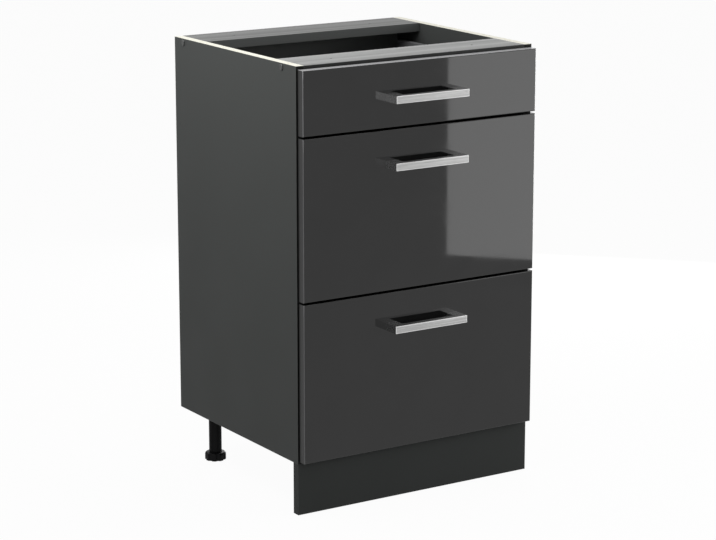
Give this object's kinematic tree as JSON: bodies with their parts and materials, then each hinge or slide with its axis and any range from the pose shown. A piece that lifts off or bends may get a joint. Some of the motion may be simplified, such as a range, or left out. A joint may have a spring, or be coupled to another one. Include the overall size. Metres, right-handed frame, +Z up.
{
  "type": "kitchen base cabinet",
  "caption": "Kitchen base cabinet: dark grey carcass, gloss drawer fronts with bow handles on roller runners, open top with rails for a worktop, plinth, levelling feet.",
  "frame": {"origin": "at floor level, mid-width, midway between the front of the handles and the back of the carcass", "axes": "+X to the right seen from the front, -Y out of the front, +Z up"},
  "size_m": [0.504, 0.484, 0.808],
  "materials": {
    "carcass_board": "matt anthracite faced chipboard, raw pale top edges on the sides",
    "back_board": "hardboard, dark grey lacquer inside, raw brown fibres behind",
    "screw_steel": "zinc plated",
    "cap_plastic": "grey moulded plastic, slightly glossy",
    "dowel_wood": "fluted beech",
    "bumper_rubber": "soft",
    "leg_plastic": "black moulded plastic",
    "clip_plastic": "black moulded plastic",
    "runner_steel": "grey powder coat",
    "roller_nylon": "white nylon",
    "drawer_steel": "anthracite powder coat",
    "drawer_board": "matt dark grey faced chipboard",
    "front_gloss": "high gloss anthracite facing on fibreboard",
    "handle_metal": "brushed, steel look"
  },
  "bodies": {
    "carcass": {"side_left": "carcass_board", "side_right": "carcass_board", "bottom_panel": "carcass_board", "front_rail": "carcass_board", "rear_rail": "carcass_board", "back_panel": "back_board", "carcass_screws": "screw_steel", "cover_caps": "cap_plastic", "dowels": "dowel_wood", "plinth_panel": "carcass_board", "plinth_clip_left": "clip_plastic", "plinth_clip_right": "clip_plastic", "leg_front_left": "leg_plastic", "leg_front_right": "leg_plastic", "leg_rear_left": "leg_plastic", "leg_rear_right": "leg_plastic", "board_screws": "screw_steel", "bumpers": "bumper_rubber", "top_runner_left": "runner_steel", "top_runner_right": "runner_steel", "middle_runner_left": "runner_steel", "middle_runner_right": "runner_steel", "bottom_runner_left": "runner_steel", "bottom_runner_right": "runner_steel"},
    "foot_front_left": {"foot_front_left": "leg_plastic"},
    "foot_front_right": {"foot_front_right": "leg_plastic"},
    "foot_rear_left": {"foot_rear_left": "leg_plastic"},
    "foot_rear_right": {"foot_rear_right": "leg_plastic"},
    "top_drawer": {"top_drawer_front": "front_gloss", "top_drawer_handle": "handle_metal", "top_handle_screws": "screw_steel", "top_drawer_side_left": "drawer_steel", "top_drawer_side_right": "drawer_steel", "top_drawer_bottom": "drawer_board", "top_drawer_back": "drawer_board", "top_drawer_screws": "screw_steel"},
    "top_front_rollers": {"top_front_rollers": "roller_nylon"},
    "top_rear_rollers": {"top_rear_rollers": "roller_nylon"},
    "middle_drawer": {"middle_drawer_front": "front_gloss", "middle_drawer_handle": "handle_metal", "middle_handle_screws": "screw_steel", "middle_drawer_side_left": "drawer_steel", "middle_drawer_side_right": "drawer_steel", "middle_drawer_bottom": "drawer_board", "middle_drawer_back": "drawer_board", "middle_drawer_screws": "screw_steel"},
    "middle_front_rollers": {"middle_front_rollers": "roller_nylon"},
    "middle_rear_rollers": {"middle_rear_rollers": "roller_nylon"},
    "bottom_drawer": {"bottom_drawer_front": "front_gloss", "bottom_drawer_handle": "handle_metal", "bottom_handle_screws": "screw_steel", "bottom_drawer_side_left": "drawer_steel", "bottom_drawer_side_right": "drawer_steel", "bottom_drawer_bottom": "drawer_board", "bottom_drawer_back": "drawer_board", "bottom_drawer_screws": "screw_steel"},
    "bottom_front_rollers": {"bottom_front_rollers": "roller_nylon"},
    "bottom_rear_rollers": {"bottom_rear_rollers": "roller_nylon"}
  },
  "joints": [
    {"name": "foot_front_left_screw", "type": "slide", "parent": "carcass", "child": "foot_front_left", "axis": [0, 0, -1], "range_m": [0, 0.02]},
    {"name": "foot_front_right_screw", "type": "slide", "parent": "carcass", "child": "foot_front_right", "axis": [0, 0, -1], "range_m": [0, 0.02]},
    {"name": "foot_rear_left_screw", "type": "slide", "parent": "carcass", "child": "foot_rear_left", "axis": [0, 0, -1], "range_m": [0, 0.02]},
    {"name": "foot_rear_right_screw", "type": "slide", "parent": "carcass", "child": "foot_rear_right", "axis": [0, 0, -1], "range_m": [0, 0.02]},
    {"name": "top_drawer_slide", "type": "slide", "parent": "carcass", "child": "top_drawer", "axis": [0, -1, 0], "range_m": [0, 0.294]},
    {"name": "top_front_rollers_spin", "type": "hinge", "parent": "carcass", "child": "top_front_rollers", "pos_m": [0, -0.166, 0.7155], "axis": [1, 0, 0], "range_deg": [-10, 1882]},
    {"name": "top_rear_rollers_spin", "type": "hinge", "parent": "top_drawer", "child": "top_rear_rollers", "pos_m": [0, 0.152, 0.7188], "axis": [1, 0, 0], "range_deg": [-10, 1358]},
    {"name": "middle_drawer_slide", "type": "slide", "parent": "carcass", "child": "middle_drawer", "axis": [0, -1, 0], "range_m": [0, 0.294]},
    {"name": "middle_front_rollers_spin", "type": "hinge", "parent": "carcass", "child": "middle_front_rollers", "pos_m": [0, -0.166, 0.4215], "axis": [1, 0, 0], "range_deg": [-10, 1882]},
    {"name": "middle_rear_rollers_spin", "type": "hinge", "parent": "middle_drawer", "child": "middle_rear_rollers", "pos_m": [0, 0.152, 0.4248], "axis": [1, 0, 0], "range_deg": [-10, 1358]},
    {"name": "bottom_drawer_slide", "type": "slide", "parent": "carcass", "child": "bottom_drawer", "axis": [0, -1, 0], "range_m": [0, 0.294]},
    {"name": "bottom_front_rollers_spin", "type": "hinge", "parent": "carcass", "child": "bottom_front_rollers", "pos_m": [0, -0.166, 0.1275], "axis": [1, 0, 0], "range_deg": [-10, 1882]},
    {"name": "bottom_rear_rollers_spin", "type": "hinge", "parent": "bottom_drawer", "child": "bottom_rear_rollers", "pos_m": [0, 0.152, 0.1308], "axis": [1, 0, 0], "range_deg": [-10, 1358]}
  ],
  "couplings": [
    {"joint": "top_front_rollers_spin", "follows": "top_drawer_slide", "rad_per_m": 111.11},
    {"joint": "top_rear_rollers_spin", "follows": "top_drawer_slide", "rad_per_m": 80},
    {"joint": "middle_front_rollers_spin", "follows": "middle_drawer_slide", "rad_per_m": 111.11},
    {"joint": "middle_rear_rollers_spin", "follows": "middle_drawer_slide", "rad_per_m": 80},
    {"joint": "bottom_front_rollers_spin", "follows": "bottom_drawer_slide", "rad_per_m": 111.11},
    {"joint": "bottom_rear_rollers_spin", "follows": "bottom_drawer_slide", "rad_per_m": 80}
  ]
}
